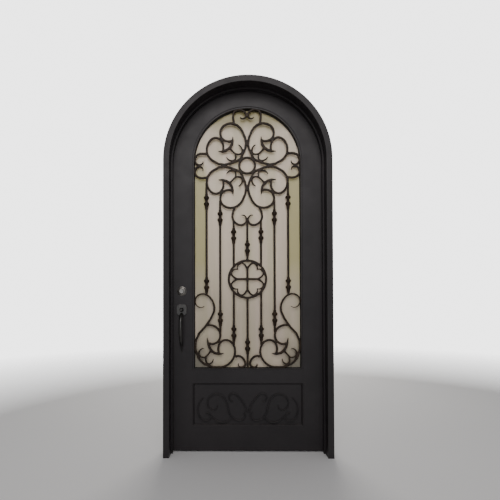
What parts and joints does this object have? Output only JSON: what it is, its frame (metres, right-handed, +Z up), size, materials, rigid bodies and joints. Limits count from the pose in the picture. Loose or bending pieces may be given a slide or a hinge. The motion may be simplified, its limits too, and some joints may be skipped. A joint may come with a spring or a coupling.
{
  "type": "arched wrought iron door",
  "caption": "Round-headed wrought iron entrance door in its steel frame: an inward-opening glazed leaf with a scroll grille, barrel hinges, deadbolt and grip handle.",
  "frame": {"origin": "at floor level on the hinge-side jamb's flat outer face, which bears on the wall, half-way through the frame's depth", "axes": "+X out of the hinge-side wall face, so the door lies along -X; +Y into the house; +Z up"},
  "size_m": [1.08, 0.228, 2.44],
  "materials": {
    "painted_steel": "satin dark bronze paint",
    "wrought_iron": "satin dark brown paint on forged iron",
    "seal": "matt black",
    "glass": "obscured",
    "bronze_hardware": "oiled bronze",
    "cylinder_metal": "satin nickel",
    "plate_metal": "satin"
  },
  "bodies": {
    "frame": {"hinge_jamb": "painted_steel", "latch_jamb": "painted_steel", "arch_head": "painted_steel", "hinge_side_stop": "painted_steel", "latch_side_stop": "painted_steel", "arch_stop": "painted_steel", "weather_seal": "seal", "strike_plates": "plate_metal", "jamb_knuckles": "painted_steel"},
    "leaf": {"hinge_stile": "painted_steel", "latch_stile": "painted_steel", "arched_rail": "painted_steel", "mid_rail": "painted_steel", "bottom_rail": "painted_steel", "kick_panel": "painted_steel", "kick_mouldings": "painted_steel", "kick_scrolls": "wrought_iron", "grille_surround": "painted_steel", "rosette": "wrought_iron", "top_heart": "wrought_iron", "bottom_heart": "wrought_iron", "side_hearts": "wrought_iron", "medallion": "wrought_iron", "left_foot_scrolls": "wrought_iron", "right_foot_scrolls": "wrought_iron", "centre_volutes": "wrought_iron", "centre_bar": "wrought_iron", "inner_bars": "wrought_iron", "second_bars": "wrought_iron", "outer_bars": "wrought_iron", "bar_collars": "wrought_iron", "glass_pane": "glass", "sash": "painted_steel", "sash_hinges": "bronze_hardware", "sash_latches": "bronze_hardware", "leaf_knuckles": "painted_steel", "edge_faceplates": "plate_metal", "deadbolt_rose": "bronze_hardware", "key_cylinder": "cylinder_metal", "escutcheon": "bronze_hardware", "grip_handle": "bronze_hardware", "room_roses": "bronze_hardware", "room_knob": "bronze_hardware", "thumb_turn": "bronze_hardware"},
    "thumb": {"thumb_piece": "bronze_hardware"}
  },
  "joints": [
    {"name": "leaf_hinge", "type": "hinge", "parent": "frame", "child": "leaf", "pos_m": [-0.0325, 0.092, 0], "axis": [0, 0, -1], "range_deg": [0, 110]},
    {"name": "thumb_lever", "type": "hinge", "parent": "leaf", "child": "thumb", "pos_m": [-0.975, 0.02, 0.937], "axis": [1, 0, 0], "range_deg": [0, 14], "stiffness_Nm_per_rad": 0.4, "springref_deg": -8.59}
  ]
}
